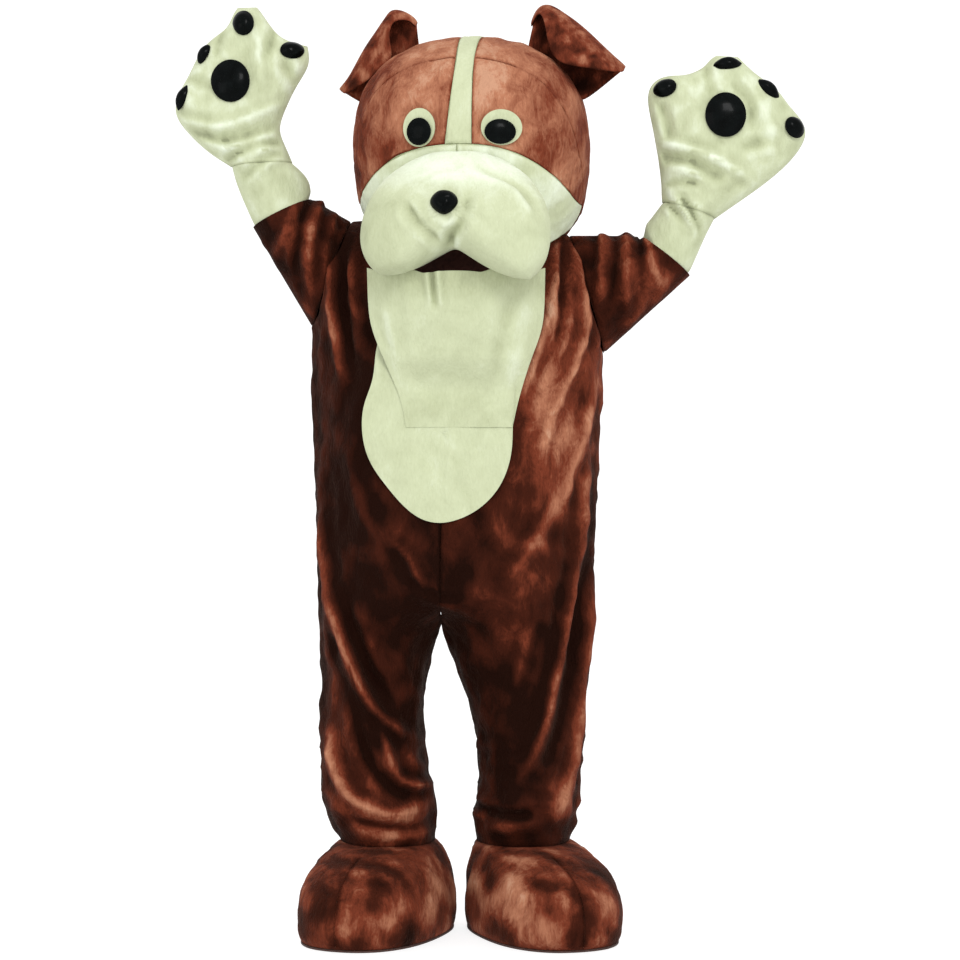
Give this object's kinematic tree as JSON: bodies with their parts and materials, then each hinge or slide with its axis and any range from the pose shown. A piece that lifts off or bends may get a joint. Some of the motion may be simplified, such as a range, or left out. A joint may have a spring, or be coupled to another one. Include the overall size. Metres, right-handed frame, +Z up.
{
  "type": "dog mascot costume",
  "caption": "Full-body dog mascot costume in brown and white plush: jumpsuit, hollow jowled head with folded ears and a chin bib, paw gloves and padded feet, held in its worn shape.",
  "frame": {"origin": "between the wearer's shoulders, at the root of the neck, on the suit's centre plane", "axes": "+Z up the standing figure, the face looks along -Y, +X to the wearer's left"},
  "size_m": [1.2538, 0.6061, 1.8415],
  "materials": {
    "brown_plush": "crushed pile",
    "white_plush": "short pile",
    "gloss_black": "gloss",
    "mouth_cloth": "matt",
    "sole_rubber": "matt"
  },
  "bodies": {
    "root": {"suit_front_r": "brown_plush", "suit_back_r": "brown_plush", "sleeve_r": "brown_plush", "suit_front_l": "brown_plush", "suit_back_l": "brown_plush", "sleeve_l": "brown_plush", "belly_patch": "white_plush", "back_placket": "brown_plush", "head_cheek_r": "white_plush", "head_face_r": "brown_plush", "head_back_r": "brown_plush", "head_cheek_l": "white_plush", "head_face_l": "brown_plush", "head_back_l": "brown_plush", "head_blaze": "white_plush", "muzzle": "white_plush", "nose": "gloss_black", "eye_white_r": "white_plush", "pupil_r": "gloss_black", "eye_white_l": "white_plush", "pupil_l": "gloss_black", "mouth_lining": "mouth_cloth", "chin_bib": "white_plush", "ear_r": "brown_plush", "glove_cuff_r": "white_plush", "glove_palm_r": "white_plush", "glove_back_r": "white_plush", "palm_pad_r": "gloss_black", "claw_1_r": "gloss_black", "claw_2_r": "gloss_black", "claw_3_r": "gloss_black", "claw_4_r": "gloss_black", "foot_outer_r": "brown_plush", "foot_inner_r": "brown_plush", "foot_sole_r": "sole_rubber", "ear_l": "brown_plush", "glove_cuff_l": "white_plush", "glove_palm_l": "white_plush", "glove_back_l": "white_plush", "palm_pad_l": "gloss_black", "claw_1_l": "gloss_black", "claw_2_l": "gloss_black", "claw_3_l": "gloss_black", "claw_4_l": "gloss_black", "foot_outer_l": "brown_plush", "foot_inner_l": "brown_plush", "foot_sole_l": "sole_rubber"}
  },
  "joints": []
}
